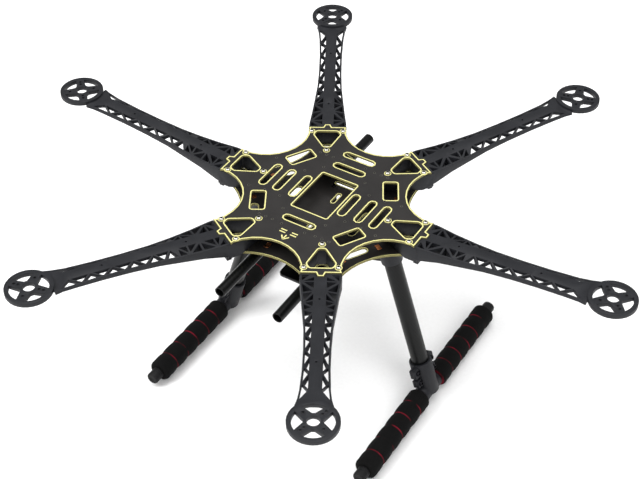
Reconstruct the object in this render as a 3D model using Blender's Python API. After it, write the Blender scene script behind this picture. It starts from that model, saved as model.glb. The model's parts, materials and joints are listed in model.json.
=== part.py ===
"""Six-arm multirotor airframe: two circuit-board centre plates, six moulded truss arms,
two accessory rails in rubber-lined hangers, a battery tray and a T-shaped landing gear.

Frame: +Z up, nose towards -Y, arm 1 along -60 degrees and the next ones every 60 degrees
clockwise seen from above.  The origin is on the ground under the middle of the airframe.
"""
import math

import bmesh
import bpy
from mathutils import Matrix, Vector

MM = 0.001
GAP = 0.3

# ---- driving dimensions, in millimetres -------------------------------------------------
MOTOR_CIRCLE_RADIUS = 275.0
PAD_HEIGHT = 210.0
ARM_ANGLES = (-60, -120, 180, 120, 60, 0)

TOP_PLATE_FACE = PAD_HEIGHT - 12.4
TOP_PLATE_THICK = 1.6
BOTTOM_PLATE_FACE = PAD_HEIGHT - 30.0
BOTTOM_PLATE_THICK = 1.6
PLATE_END = 101.0
PLATE_END_HALF = 18.0
BOTTOM_END = 98.6
BOTTOM_END_HALF = 12.0

DISC_RADIUS = 20.6
DISC_THICK = 4.0
DISC_BOLTS = [(-45, 9.5), (-45, 13.3), (135, 9.5), (135, 13.3), (45, 11.4), (-135, 11.4)]

RAIL_X = 29.6
RAIL_HEIGHT = PAD_HEIGHT - 46.0
RAIL_RADIUS = 5.0
RAIL_BORE = 4.0
RAIL_FRONT = -124.0
RAIL_REAR = 131.0
HANGER_Y = 50.0

TRAY_WIDTH = 32.0
TRAY_LENGTH = 108.0
TRAY_THICK = 3.0
STANDOFF_LENGTH = 40.0
STANDOFF_FLATS = 5.5
STANDOFF_X = 11.0
STANDOFF_Y = 34.0

LEG_RADIUS = 8.0
LEG_BORE = 7.0
LEG_SPLAY = math.radians(17.0)
SKID_X = 114.5
SKID_RADIUS = 5.0
SKID_BORE = 4.0
SKID_HALF = 127.0
FOAM_RADIUS = 11.0
FOAM_INNER = 14.6
FOAM_OUTER = 118.0
FOAM_SIDES = 20

# ---- dimensions worked out from them ------------------------------------------------------
DECK_TOP = TOP_PLATE_FACE - TOP_PLATE_THICK - GAP
DECK_BOTTOM = BOTTOM_PLATE_FACE + GAP
BOARD_UNDERSIDE = BOTTOM_PLATE_FACE - BOTTOM_PLATE_THICK
TRAY_FACE = BOARD_UNDERSIDE - STANDOFF_LENGTH
SKID_HEIGHT = FOAM_RADIUS * math.cos(math.pi / FOAM_SIDES)
LEG_AXIS = Vector((math.sin(LEG_SPLAY), 0.0, -math.cos(LEG_SPLAY)))
LEG_FOOT = Vector((SKID_X, 0.0, SKID_HEIGHT))


# ---- scene helpers --------------------------------------------------------------------------
def clear_scene():
    for obj in list(bpy.data.objects):
        bpy.data.objects.remove(obj, do_unlink=True)


def finish(name, colour, roughness, metallic):
    """A plain Principled material."""
    mat = bpy.data.materials.get(name) or bpy.data.materials.new(name)
    mat.use_nodes = True
    shader = mat.node_tree.nodes["Principled BSDF"]
    shader.inputs["Base Color"].default_value = (*colour, 1.0)
    shader.inputs["Roughness"].default_value = roughness
    shader.inputs["Metallic"].default_value = metallic
    return mat


def link_mesh(name, mesh, mat=None, parent=None, matrix=None):
    obj = bpy.data.objects.new(name, mesh)
    bpy.context.scene.collection.objects.link(obj)
    if mat is not None and not mesh.materials:
        mesh.materials.append(mat)
    if parent is not None:
        obj.parent = parent
    if matrix is not None:
        obj.matrix_basis = matrix
    return obj


def shade(mesh, smooth_angle=30.0):
    mesh.shade_smooth()
    mesh.set_sharp_from_angle(angle=math.radians(smooth_angle))


def to_mesh(name, bm, smooth_angle=30.0, scale=MM):
    """Metres, outward normals, round faces smooth."""
    bmesh.ops.scale(bm, vec=Vector((scale, scale, scale)), verts=bm.verts)
    bmesh.ops.recalc_face_normals(bm, faces=bm.faces)
    mesh = bpy.data.meshes.new(name)
    bm.to_mesh(mesh)
    bm.free()
    shade(mesh, smooth_angle)
    return mesh


def empty(name, location):
    obj = bpy.data.objects.new(name, None)
    obj.location = location
    bpy.context.scene.collection.objects.link(obj)
    return obj


def place(x=0.0, y=0.0, z=0.0, turn=0.0):
    """Millimetres and degrees about Z."""
    return Matrix.Translation(Vector((x, y, z)) * MM) @ Matrix.Rotation(math.radians(turn), 4, "Z")


def turned(points, degrees):
    c = math.cos(math.radians(degrees))
    s = math.sin(math.radians(degrees))
    return [(x * c - y * s, x * s + y * c) for x, y in points]


def shifted(points, dx, dy):
    return [(x + dx, y + dy) for x, y in points]


def circle(radius, sides, start=0.0):
    step = 360.0 / sides
    angles = [math.radians(start + step * i) for i in range(sides)]
    return [(radius * math.cos(a), radius * math.sin(a)) for a in angles]


def obround(length, width, steps=4):
    """A slot along X with round ends."""
    r = width / 2
    reach = length / 2 - r
    right = [math.radians(-90 + 180 * i / steps) for i in range(steps + 1)]
    points = [(reach + r * math.cos(a), r * math.sin(a)) for a in right]
    return points + [(-x, -y) for x, y in points]


def rounded(points, radius, steps=2):
    """A polygon with each corner replaced by an arc that touches both its sides."""
    out = []
    count = len(points)
    for i in range(count):
        before, corner, after = (Vector(points[(i + k) % count]) for k in (-1, 0, 1))
        to_before = (before - corner).normalized()
        to_after = (after - corner).normalized()
        half = to_before.angle(to_after) / 2
        inward = (to_before + to_after).normalized()
        centre = corner + inward * (radius / math.sin(half))
        first = corner + to_before * (radius / math.tan(half)) - centre
        last = corner + to_after * (radius / math.tan(half)) - centre
        sweep = first.angle_signed(last)
        for k in range(steps + 1):
            spoke = first.copy()
            spoke.rotate(Matrix.Rotation(-sweep * k / steps, 2))
            out.append(tuple(centre + spoke))
    return out


def rectangle(width, depth, radius=0.0, steps=2):
    x, y = width / 2, depth / 2
    corners = [(x, -y), (x, y), (-x, y), (-x, -y)]
    return rounded(corners, radius, steps) if radius else corners


def prism(bm, outline, holes, low, high):
    """Fills an outline around its holes and raises it; low and high may be functions of x, y."""
    edges = []
    base = []
    for loop in [outline] + holes:
        verts = [bm.verts.new((x, y, 0.0)) for x, y in loop]
        base += verts
        edges += [bm.edges.new((verts[i - 1], verts[i])) for i in range(len(verts))]
    faces = bmesh.ops.triangle_fill(bm, use_beauty=True, edges=edges)["geom"]
    faces = [f for f in faces if isinstance(f, bmesh.types.BMFace)]
    raised = bmesh.ops.extrude_face_region(bm, geom=faces)["geom"]
    for vert in base:
        vert.co.z = low(vert.co.x, vert.co.y) if callable(low) else low
    for vert in raised:
        if isinstance(vert, bmesh.types.BMVert):
            vert.co.z = high(vert.co.x, vert.co.y) if callable(high) else high


def prism_mesh(name, outline, holes, low, high):
    bm = bmesh.new()
    prism(bm, outline, holes, low, high)
    return to_mesh(name, bm)


def turned_profile(bm, profile, sides, matrix=Matrix.Identity(4)):
    """A closed (radius, height) profile turned about Z with flats facing X and Y; a radius of 0
    closes on the axis."""
    rings = []
    for radius, height in profile:
        if radius == 0.0:
            rings.append([bm.verts.new(matrix @ Vector((0.0, 0.0, height)))])
            continue
        ring = circle(radius, sides, 180.0 / sides)
        rings.append([bm.verts.new(matrix @ Vector((x, y, height))) for x, y in ring])
    pairs = zip(rings, rings[1:] + rings[:1])
    for a, b in pairs:
        for i in range(sides):
            j = (i + 1) % sides
            corners = [a[i % len(a)], a[j % len(a)], b[j % len(b)], b[i % len(b)]]
            corners = list(dict.fromkeys(corners))
            if len(corners) > 2:
                bm.faces.new(corners)


def sleeve(outer, inner, low, high):
    """The profile of a tube from low to high."""
    return [(outer, low), (outer, high), (inner, high), (inner, low)]


def boxed(bm, size, matrix=Matrix.Identity(4)):
    x, y, z = size
    bmesh.ops.create_cube(bm, size=1.0, matrix=matrix @ Matrix.Diagonal((x, y, z, 1.0)))


def drum(radius, low, high, sides=20, matrix=Matrix.Identity(4)):
    """A plain cylinder along local Z, used as a building block."""
    bm = bmesh.new()
    turned_profile(bm, [(0.0, high), (radius, high), (radius, low), (0.0, low)], sides, matrix)
    return bm


def block(size, centre, matrix=Matrix.Identity(4)):
    bm = bmesh.new()
    boxed(bm, size, matrix @ Matrix.Translation(centre))
    return bm


def slab(outline, holes, low, high, matrix=Matrix.Identity(4)):
    bm = bmesh.new()
    prism(bm, outline, holes, low, high)
    bm.transform(matrix)
    return bm


def joined(name, body, steps):
    """One closed mesh from a body and a list of (operation, shape) steps, joined in millimetres."""
    base = link_mesh(name, to_mesh(name, body, scale=1.0))
    tools = []
    for number, (operation, shape) in enumerate(steps):
        label = f"{name}_step_{number}"
        tool = link_mesh(label, to_mesh(label, shape, scale=1.0))
        tools.append(tool)
        mod = base.modifiers.new(label, "BOOLEAN")
        mod.operation = operation
        mod.object = tool
        mod.solver = "EXACT"
    graph = bpy.context.evaluated_depsgraph_get()
    bm = bmesh.new()
    bm.from_object(base, graph)
    bmesh.ops.remove_doubles(bm, verts=bm.verts, dist=0.001)
    mesh = to_mesh(name, bm)
    for obj in [base] + tools:
        bpy.data.objects.remove(obj, do_unlink=True)
    return mesh


# ---- centre plates -----------------------------------------------------------------------------
def star(end, end_half, arc_centre, arc_radius, arc_half, tab):
    """Six straight ends joined by hollow arcs, with an optional tab (half root, half tip, reach)."""
    points = []
    reach = math.degrees(math.asin(arc_half / arc_radius))
    steps = 10
    for k in range(6):
        end_points = [(end, -end_half)]
        if tab:
            root, tip, length = tab
            end_points += [(end, -root), (end + length, -tip), (end + length, tip), (end, root)]
        end_points.append((end, end_half))
        points += turned(end_points, 60 * k)
        sweep = [math.radians(180 + reach - 2 * reach * i / steps) for i in range(steps + 1)]
        arc = [(arc_centre + arc_radius * math.cos(a), arc_radius * math.sin(a)) for a in sweep]
        points += turned(arc, 60 * k + 30)
    return points


ARM_WINDOW = [(71.0, -2.7), (89.5, -12.0), (94.4, -9.6), (94.4, 9.6), (89.5, 12.0), (71.0, 2.7)]
FOOT_WINDOW = [(71.0, -2.7), (84.0, -9.4), (96.0, -8.6), (96.0, 8.6), (84.0, 9.4), (71.0, 2.7)]
SCREW_SPOT = (65.3, 0.0)
SCREW_RADIUS = 1.25


def plate_windows():
    loops = [turned(rounded(ARM_WINDOW, 2.4, 2), 60 * k) for k in range(6)]
    loops += [shifted(turned(obround(31, 6), 90), x, 0) for x in (25.5, 42.5, 57.5, -25.5, -42.5, -57.5)]
    loops += [shifted(obround(31, 6), 0, y) for y in (61, 43, -42)]
    for sx in (1, -1):
        for sy in (1, -1):
            slant = turned(rectangle(24.5, 12, 1.5), 60 * sx * -sy)
            loops.append(shifted(slant, 47.5 * sx, 36 * sy))
    return loops


def top_plate(mat):
    outline = star(PLATE_END, PLATE_END_HALF, 113.0, 39.5, 34.3, (4.2, 2.6, 4.2))
    holes = plate_windows()
    holes.append(shifted(rectangle(36, 53, 0.8, 1), 0, 0.5))
    for k in range(6):
        holes += [turned(shifted(circle(SCREW_RADIUS + GAP, 8), *SCREW_SPOT), 60 * k)]
    low = TOP_PLATE_FACE - TOP_PLATE_THICK
    link_mesh("top_plate", prism_mesh("top_plate", outline, holes, low, TOP_PLATE_FACE), mat)


def bottom_plate(mat):
    outline = star(BOTTOM_END, BOTTOM_END_HALF, 138.0, 62.0, 36.0, None)
    holes = [turned(rounded(FOOT_WINDOW, 2.4, 2), 60 * k) for k in range(6)]
    holes += [shifted(turned(obround(34, 6), 90), x, 0) for x in (36.5, -36.5)]
    holes += [shifted(obround(24, 3.2), 0, y) for y in (39.5, -39.5)]
    holes += [shifted(turned(obround(14, 3), 90), 0, y) for y in (20.0, -20.0)]
    for sx in (1, -1):
        for sy in (1, -1):
            holes.append(shifted(turned(obround(23, 6), -60 * sx * sy), 53 * sx, 35 * sy))
    link_mesh("bottom_plate", prism_mesh("bottom_plate", outline, holes, BOARD_UNDERSIDE,
                                         BOTTOM_PLATE_FACE), mat)


# ---- arms ------------------------------------------------------------------------------------------
ARM_HALF_WIDTHS = [(98, 17.9), (106, 18.0), (125, 16.0), (145, 14.1), (165, 12.2), (190, 11.3),
                   (215, 11.3), (240, 12.3), (251, 13.6), (257, 15.0), (263, 17.0)]
ARM_SPINE_TOPS = [(98, -12.9), (106, -12.8), (125, -11.0), (150, -8.6), (197, -4.9), (240, -2.0),
                  (256, -1.4), (263, -1.2)]
ARM_RAIL_TOPS = [(98, -13.0), (106, -13.0), (125, -13.2), (144, -12.6), (165, -11.0), (197, -8.1),
                 (240, -4.4), (256, -2.4), (263, -1.8)]
ARM_UNDERSIDES = [(98, -27.6), (106, -26.6), (120, -22.6), (140, -19.6), (165, -15.9), (195, -12.4),
                  (237, -7.9), (250, -5.8), (263, -4.2)]
SPINE_HALF = 4.8
SPINE_ROOT = 105.7
WALL_FLARE = 0.4
WALL_THICK = 1.5
RIB = 1.8
SPINE_WEB = 3.8
CHANNEL_START = 146.0
OPEN_BAYS = [(152.0, 5.4), (167.3, 6.6), (185.2, 7.2), (204.0, 7.5), (223.4, 7.8), (243.0, 8.6)]
ROOT_BAYS = [[(103.3, 1.0), (110.0, 1.0), (103.3, 0.35)], [(105.9, 0.0), (110.7, 0.0), (110.7, 0.85)],
             [(112.3, 0.0), (120.6, 0.0), (112.3, 0.85)], [(113.6, 1.0), (123.8, 1.0), (123.8, 0.1)],
             [(125.6, 1.0), (134.8, 1.0), (125.6, 0.1)], [(128.2, 0.0), (135.9, 0.0), (135.9, 0.85)],
             [(137.5, 0.0), (144.2, 0.0), (137.5, 0.85)], [(138.8, 1.0), (145.0, 1.0), (145.0, 0.15)]]
FUNNEL = 0.6
SPINE_PINS = (135.0, 211.5)


def between(table, x):
    for (x0, y0), (x1, y1) in zip(table, table[1:]):
        if x <= x1:
            return y0 + (y1 - y0) * (x - x0) / (x1 - x0)
    return table[-1][1]


def wall_inside(x):
    """Half the gap between the side walls."""
    return between(ARM_HALF_WIDTHS, x) - WALL_FLARE - WALL_THICK


def arm_top(x, y):
    spine = between(ARM_SPINE_TOPS, x)
    rail = between(ARM_RAIL_TOPS, x)
    share = (abs(y) - SPINE_HALF) / (wall_inside(x) - SPINE_HALF)
    share = min(1.0, max(0.0, share))
    return PAD_HEIGHT + spine + (min(rail, spine) - spine) * share


def arm_under(x, y):
    """The underside rises under the spine, so that the truss is a channel open below."""
    low = between(ARM_UNDERSIDES, x)
    if x > CHANNEL_START and abs(y) < SPINE_HALF + 1.0:
        low = max(low, between(ARM_SPINE_TOPS, x) - SPINE_WEB)
    return PAD_HEIGHT + low


def bay_loop(corners):
    """Corners are (x, share of the way from the spine to the side wall)."""
    tip = SPINE_HALF + 0.6
    return [(x, tip + (wall_inside(x) - tip) * share) for x, share in corners]


def truss_bays():
    """Open bays with their base on the side wall, and funnels with their base on the spine."""
    openings = [bay_loop(corners) for corners in ROOT_BAYS]
    openings += [bay_loop([(x - half, 1.0), (x + half, 1.0), (x, 0.0)]) for x, half in OPEN_BAYS]
    funnels = []
    for (x0, _), (x1, _) in zip(OPEN_BAYS, OPEN_BAYS[1:]):
        funnels.append(bay_loop([(x0 + RIB, 0.0), (x1 - RIB, 0.0), ((x0 + x1) / 2, 0.95)]))
    both = []
    for loops in (openings, funnels):
        both.append(loops + [[(x, -y) for x, y in loop] for loop in loops])
    return both


def arm_beam():
    start = PLATE_END + 0.5
    stations = [start] + [x for x, _ in ARM_HALF_WIDTHS if x > start]
    side = [(x, between(ARM_HALF_WIDTHS, x)) for x in stations]
    notch = [(start, 4.8), (SPINE_ROOT, 3.1), (SPINE_ROOT, -3.1), (start, -4.8)]
    outline = [(x, -y) for x, y in side] + side[::-1] + notch
    openings, funnels = truss_bays()
    pins = [shifted(circle(1.1, 6), x, 0) for x in SPINE_PINS]
    bm = slab(outline, openings + funnels + pins, arm_under, arm_top)
    narrowed = {}
    for loop in funnels:
        base = (Vector(loop[0]) + Vector(loop[1])) / 2
        narrowed.update({(round(x, 2), round(y, 2)): base.lerp(Vector((x, y)), FUNNEL) for x, y in loop})
    for vert in bm.verts:
        x, y, z = vert.co
        key = (round(x, 2), round(y, 2))
        if z < arm_top(x, y) - 1.0:
            if key in narrowed:
                vert.co.xy = narrowed[key]
                vert.co.z = arm_under(*narrowed[key])
        elif abs(y) > between(ARM_HALF_WIDTHS, x) - 0.01:
            vert.co.y -= math.copysign(WALL_FLARE, y)
    return bm


def arm_root():
    """The frame between the plates: two walls that meet at the inner screw boss."""
    reach = SCREW_SPOT[0]
    nose = [math.radians(120 + 120 * i / 6) for i in range(7)]
    boss = [(reach + 4.8 * math.cos(a), 4.8 * math.sin(a)) for a in nose]
    wide = PLATE_END_HALF - 0.1
    outline = [(104.0, wide), (92.0, wide)] + boss + [(92.0, -wide), (104.0, -wide)]
    hollow = rounded([(71.8, -4.2), (86.5, -12.2), (97.4, -12.2), (97.4, 12.2), (86.5, 12.2),
                      (71.8, 4.2)], 1.0, 1)
    return slab(outline, [hollow], DECK_BOTTOM, DECK_TOP)


def arm_foot():
    """The low ridge just past the lower plate's end."""
    low = BOARD_UNDERSIDE - 2.0
    return block((4.6, 2 * (PLATE_END_HALF - 2.5), 7.0), (102.2, 0.0, low + 3.5))


def motor_disc():
    windows = []
    for k in range(4):
        arc = [math.radians(-33 + 66 * i / 6) for i in range(7)]
        sector = [(16.8 * math.cos(a), 16.8 * math.sin(a)) for a in arc] + [(7.6, 1.3), (7.6, -1.3)]
        windows.append(shifted(turned(sector, 90 * k), MOTOR_CIRCLE_RADIUS, 0))
    windows.append(shifted(circle(5.3, 16), MOTOR_CIRCLE_RADIUS, 0))
    for angle, radius in DISC_BOLTS:
        hole = turned(shifted(circle(1.45, 8), radius, 0), angle)
        windows.append(shifted(hole, MOTOR_CIRCLE_RADIUS, 0))
    rim = shifted(circle(DISC_RADIUS, 32), MOTOR_CIRCLE_RADIUS, 0)
    return slab(rim, windows, PAD_HEIGHT - DISC_THICK, PAD_HEIGHT)


def disc_clearance():
    """Keeps the beam's end out of the motor disc's open windows."""
    x = MOTOR_CIRCLE_RADIUS - 17.2
    return block((12.0, 60.0, 30.0), (x + 6.0, 0.0, PAD_HEIGHT - DISC_THICK))


def arms(mat):
    bore = drum(SCREW_RADIUS + GAP, DECK_TOP - 8.0, DECK_TOP + 4.0, 8,
                Matrix.Translation((SCREW_SPOT[0], 0.0, 0.0)))
    mesh = joined("arm", arm_beam(), [("DIFFERENCE", disc_clearance()), ("UNION", arm_root()),
                                      ("UNION", arm_foot()), ("UNION", motor_disc()), ("DIFFERENCE", bore)])
    for number, angle in enumerate(ARM_ANGLES, 1):
        link_mesh(f"arm_{number}", mesh.copy(), mat, matrix=place(turn=angle))


def arm_screws(mat):
    """A button-head screw through the upper plate into each arm's inner boss."""
    head = TOP_PLATE_FACE + GAP
    bm = bmesh.new()
    profile = [(0.0, head + 1.4), (1.3, head + 1.3), (2.2, head), (SCREW_RADIUS, head),
               (SCREW_RADIUS, head - 7.0), (0.0, head - 7.0)]
    turned_profile(bm, profile, 10, Matrix.Translation((*SCREW_SPOT, 0.0)))
    mesh = to_mesh("arm_screw", bm)
    for number, angle in enumerate(ARM_ANGLES, 1):
        link_mesh(f"arm_screw_{number}", mesh, mat, matrix=place(turn=angle))


# ---- battery tray ---------------------------------------------------------------------------------
def tray(mat):
    holes = [shifted(circle(1.7, 8), sx * STANDOFF_X, sy * STANDOFF_Y) for sx in (1, -1) for sy in (1, -1)]
    slot = turned(obround(22, 3.5, 3), 90)
    holes += [shifted(slot, sx * 11.5, sy * 18) for sx in (1, -1) for sy in (1, -1)]
    outline = rectangle(TRAY_WIDTH, TRAY_LENGTH, 4.0, 3)
    low = TRAY_FACE - TRAY_THICK
    link_mesh("battery_tray", prism_mesh("battery_tray", outline, holes, low, TRAY_FACE), mat)


def standoffs(mat):
    radius = STANDOFF_FLATS / 2 / math.cos(math.radians(30))
    mesh = prism_mesh("tray_standoff", circle(radius, 6), [], TRAY_FACE + GAP, BOARD_UNDERSIDE - GAP)
    spots = [(1, -1), (-1, -1), (-1, 1), (1, 1)]
    for number, (sx, sy) in enumerate(spots, 1):
        link_mesh(f"tray_standoff_{number}", mesh, mat, matrix=place(sx * STANDOFF_X, sy * STANDOFF_Y))


# ---- rails -------------------------------------------------------------------------------------------
def rails(mat):
    bm = bmesh.new()
    turned_profile(bm, sleeve(RAIL_RADIUS, RAIL_BORE, RAIL_FRONT, RAIL_REAR), 24)
    mesh = to_mesh("rail", bm)
    lay = Matrix.Rotation(math.radians(-90), 4, "X")
    for side, sx in (("left", -1), ("right", 1)):
        guide = empty(f"rail_{side}_axis", Vector((sx * RAIL_X, 0.0, RAIL_HEIGHT)) * MM)
        link_mesh(f"rail_{side}", mesh, mat, parent=guide, matrix=lay)


def hangers(plastic, rubber):
    """A screw flange, a neck and a ring, with a rubber bush between ring and rail."""
    ring_outer, ring_inner, deep = 9.6, 7.5, 8.0
    top = BOARD_UNDERSIDE - GAP - RAIL_HEIGHT
    lay = Matrix.Rotation(math.radians(-90), 4, "X")
    screw_holes = [shifted(circle(1.4, 8), x, 0) for x in (-7.5, 7.5)]
    flange = slab(rectangle(23.0, deep + 1.0, 2.0), screw_holes, top - 2.6, top)
    neck = block((9.0, deep, top - ring_inner - 1.0), (0.0, 0.0, (top + ring_inner + 1.0) / 2 - 1.0))
    ring = bmesh.new()
    turned_profile(ring, sleeve(ring_outer, ring_inner, -deep / 2, deep / 2), 20, lay)
    ring_mesh = joined("rail_hanger", ring, [("UNION", neck), ("UNION", flange)])
    bush = bmesh.new()
    turned_profile(bush, sleeve(ring_inner - GAP, RAIL_RADIUS + GAP, -deep / 2, deep / 2), 20, lay)
    bush_mesh = to_mesh("hanger_bush", bush)
    spots = {"front_left": (-1, -1), "front_right": (1, -1), "rear_left": (-1, 1), "rear_right": (1, 1)}
    for name, (sx, sy) in spots.items():
        matrix = place(sx * RAIL_X, sy * HANGER_Y, RAIL_HEIGHT)
        link_mesh(f"rail_hanger_{name}", ring_mesh.copy(), plastic, matrix=matrix)
        link_mesh(f"hanger_bush_{name}", bush_mesh.copy(), rubber, matrix=matrix)


# ---- landing gear --------------------------------------------------------------------------------------
LEG_TOP = 170.5
SOCKET_LOW = 153.0
CLAMP_TOP = 34.0
CLAMP_SEAT = 10.0
CLAMP_OUTER = 10.6
CROSS_OUTER = 8.0
CROSS_HALF = 13.6
TEE_BOLTS = [(12.6, 27.4), (12.6, 15.8)]
SIDES = {"left": -1, "right": 1}
ACROSS = Matrix.Rotation(math.radians(90), 4, "X")
OUTWARD = Matrix.Rotation(math.radians(90), 4, "Y")


def leg_frame(sx):
    """Origin on the skid axis; local +Z runs up the leg, local +X outwards."""
    up = -LEG_AXIS
    out = Vector((0.0, 1.0, 0.0)).cross(up)
    basis = Matrix((out, Vector((0.0, 1.0, 0.0)), up)).transposed().to_4x4()
    matrix = Matrix.Translation(LEG_FOOT * MM) @ basis
    return matrix if sx > 0 else Matrix.Rotation(math.pi, 4, "Z") @ matrix


def up_leg(height):
    """Distance from the skid axis along the leg to a height above the ground."""
    return (height - SKID_HEIGHT) / math.cos(LEG_SPLAY)


def bolt_mesh(name, head_at, tip_at, shank, head):
    """A button-head bolt along local +Z with its head's underside at head_at."""
    bm = bmesh.new()
    profile = [(0.0, head_at + 1.8), (head * 0.6, head_at + 1.7), (head, head_at), (shank, head_at),
               (shank, tip_at), (0.0, tip_at)]
    turned_profile(bm, profile, 10)
    return to_mesh(name, bm)


def leg_sockets(mat, steel):
    """A plate under the lower board and a slanted split sleeve that takes the leg tube."""
    low, high = up_leg(SOCKET_LOW), up_leg(BOARD_UNDERSIDE + 6.0)
    top = BOARD_UNDERSIDE - GAP
    world = leg_frame(1).inverted()
    world.translation = world.translation / MM
    lug_spot = Matrix.Translation((-14.0, 0.0, low + 7.0))
    plate = slab(shifted(rectangle(34.0, 30.0, 4.0), 64.0, 0), [], top - 3.0, top, world)
    steps = [("UNION", block((13.0, 9.6, 12.0), (-11.5, 0.0, low + 7.0))),
             ("UNION", plate),
             ("DIFFERENCE", block((90.0, 70.0, 20.0), (64.0, 0.0, top + 10.0), world)),
             ("DIFFERENCE", drum(LEG_RADIUS + GAP, low - 5.0, up_leg(LEG_TOP) + 1.0, 24)),
             ("DIFFERENCE", block((18.0, 1.6, 19.0), (-14.0, 0.0, low + 6.0))),
             ("DIFFERENCE", drum(1.7, -9.0, 9.0, 8, lug_spot @ ACROSS))]
    mesh = joined("leg_socket", drum(LEG_RADIUS + 1.9, low, high, 24), steps)
    bolt = bolt_mesh("socket_bolt", 4.8 + GAP, -7.5, 1.4, 2.7)
    spot = Matrix.Translation(lug_spot.translation * MM)
    for side, sx in SIDES.items():
        link_mesh(f"leg_socket_{side}", mesh.copy(), mat, matrix=leg_frame(sx))
        link_mesh(f"socket_bolt_{side}", bolt.copy(), steel, matrix=leg_frame(sx) @ spot @ ACROSS)


def leg_tubes(mat):
    bm = bmesh.new()
    turned_profile(bm, sleeve(LEG_RADIUS, LEG_BORE, CLAMP_SEAT, up_leg(LEG_TOP)), 24)
    mesh = to_mesh("leg_tube", bm)
    for side, sx in (("left", -1), ("right", 1)):
        link_mesh(f"leg_tube_{side}", mesh, mat, matrix=leg_frame(sx))


def tee_half(name, facing):
    """One half shell; facing is 1 for the outer and -1 for the inner half."""
    lay = Matrix.Rotation(math.radians(-90), 4, "X")
    steps = [("UNION", drum(CROSS_OUTER, -CROSS_HALF, CROSS_HALF, 20, lay)),
             ("UNION", block((6.4, 33.0, 9.0), (0.0, 0.0, TEE_BOLTS[0][1]))),
             ("UNION", block((6.2, 32.0, 7.6), (0.0, 0.0, TEE_BOLTS[1][1]))),
             ("DIFFERENCE", drum(LEG_RADIUS + GAP, CLAMP_SEAT - 1.0, CLAMP_TOP + 2.0, 24)),
             ("DIFFERENCE", drum(SKID_RADIUS + GAP, -CROSS_HALF - 2.0, CROSS_HALF + 2.0, 20, lay))]
    for y, z in TEE_BOLTS:
        for sy in (1, -1):
            spot = Matrix.Translation((0, sy * y, z)) @ OUTWARD
            steps.append(("DIFFERENCE", drum(1.7, -8.0, 8.0, 8, spot)))
            steps.append(("DIFFERENCE", drum(2.95, 3.35, 12.0, 10, spot)))
    away = block((40.0, 60.0, 90.0), (-facing * (20.0 - GAP / 2), 0.0, 10.0))
    steps.append(("DIFFERENCE", away))
    return joined(name, drum(CLAMP_OUTER, -2.0, CLAMP_TOP, 24), steps)


def tee_clamps(mat, steel):
    """Each tee is two half shells bolted round the leg's foot and the skid tube."""
    halves = {"inner": tee_half("tee_inner", -1), "outer": tee_half("tee_outer", 1)}
    bolt = bolt_mesh("tee_bolt", 3.2 + GAP, -3.0, 1.4, 2.6)
    for side, sx in SIDES.items():
        for half, mesh in halves.items():
            link_mesh(f"tee_{half}_{side}", mesh.copy(), mat, matrix=leg_frame(sx))
        number = 0
        for y, z in TEE_BOLTS:
            for sy in (-1, 1):
                number += 1
                spot = Matrix.Translation(Vector((0.0, sy * y, z)) * MM)
                link_mesh(f"tee_bolt_{side}_{number}", bolt.copy(), steel,
                          matrix=leg_frame(sx) @ spot @ OUTWARD)


def skids(tube, foam, rubber):
    lay = Matrix.Rotation(math.radians(-90), 4, "X")
    bm = bmesh.new()
    turned_profile(bm, sleeve(SKID_RADIUS, SKID_BORE, -SKID_HALF, SKID_HALF), 20)
    tube_mesh = to_mesh("skid_tube", bm)
    bm = bmesh.new()
    soft = 3.0
    bore = SKID_RADIUS + GAP
    profile = [(FOAM_RADIUS - soft, FOAM_INNER), (FOAM_RADIUS, FOAM_INNER + soft),
               (FOAM_RADIUS, FOAM_OUTER - soft), (FOAM_RADIUS - soft, FOAM_OUTER), (bore, FOAM_OUTER),
               (bore, FOAM_INNER)]
    turned_profile(bm, profile, FOAM_SIDES)
    foam_mesh = to_mesh("foam_sleeve", bm, 50.0)
    bm = bmesh.new()
    start, end = FOAM_OUTER + GAP, SKID_HALF + 2.0
    profile = [(bore, start), (6.1, start), (6.1, end - 1.2), (4.9, end), (0.0, end),
               (0.0, SKID_HALF + GAP), (bore, SKID_HALF + GAP)]
    turned_profile(bm, profile, 20)
    cap_mesh = to_mesh("skid_cap", bm)
    for side, sx in (("left", -1), ("right", 1)):
        spot = place(sx * SKID_X, 0.0, SKID_HEIGHT)
        link_mesh(f"skid_tube_{side}", tube_mesh, tube, matrix=spot @ lay)
        for end_name, sy in (("front", -1), ("rear", 1)):
            flip = Matrix.Rotation(math.pi, 4, "Z") if sy < 0 else Matrix.Identity(4)
            link_mesh(f"foam_{end_name}_{side}", foam_mesh, foam, matrix=spot @ flip @ lay)
            link_mesh(f"skid_cap_{end_name}_{side}", cap_mesh, rubber, matrix=spot @ flip @ lay)


def main():
    clear_scene()
    board = finish("circuit board", (0.02, 0.02, 0.022), 0.45, 0.0)
    nylon = finish("moulded nylon", (0.03, 0.03, 0.033), 0.6, 0.0)
    carbon = finish("carbon tube", (0.015, 0.015, 0.017), 0.35, 0.0)
    foam = finish("foam", (0.012, 0.011, 0.011), 0.95, 0.0)
    rubber = finish("rubber", (0.01, 0.01, 0.01), 0.8, 0.0)
    steel = finish("black steel", (0.05, 0.05, 0.05), 0.35, 1.0)
    bright = finish("bright steel", (0.6, 0.6, 0.58), 0.3, 1.0)
    top_plate(board)
    bottom_plate(board)
    arms(nylon)
    arm_screws(bright)
    tray(carbon)
    standoffs(steel)
    rails(carbon)
    hangers(nylon, rubber)
    leg_sockets(nylon, steel)
    leg_tubes(carbon)
    tee_clamps(nylon, steel)
    skids(carbon, foam, rubber)


main()
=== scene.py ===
import json
import math

import bpy
from mathutils import Matrix, Vector

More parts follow.
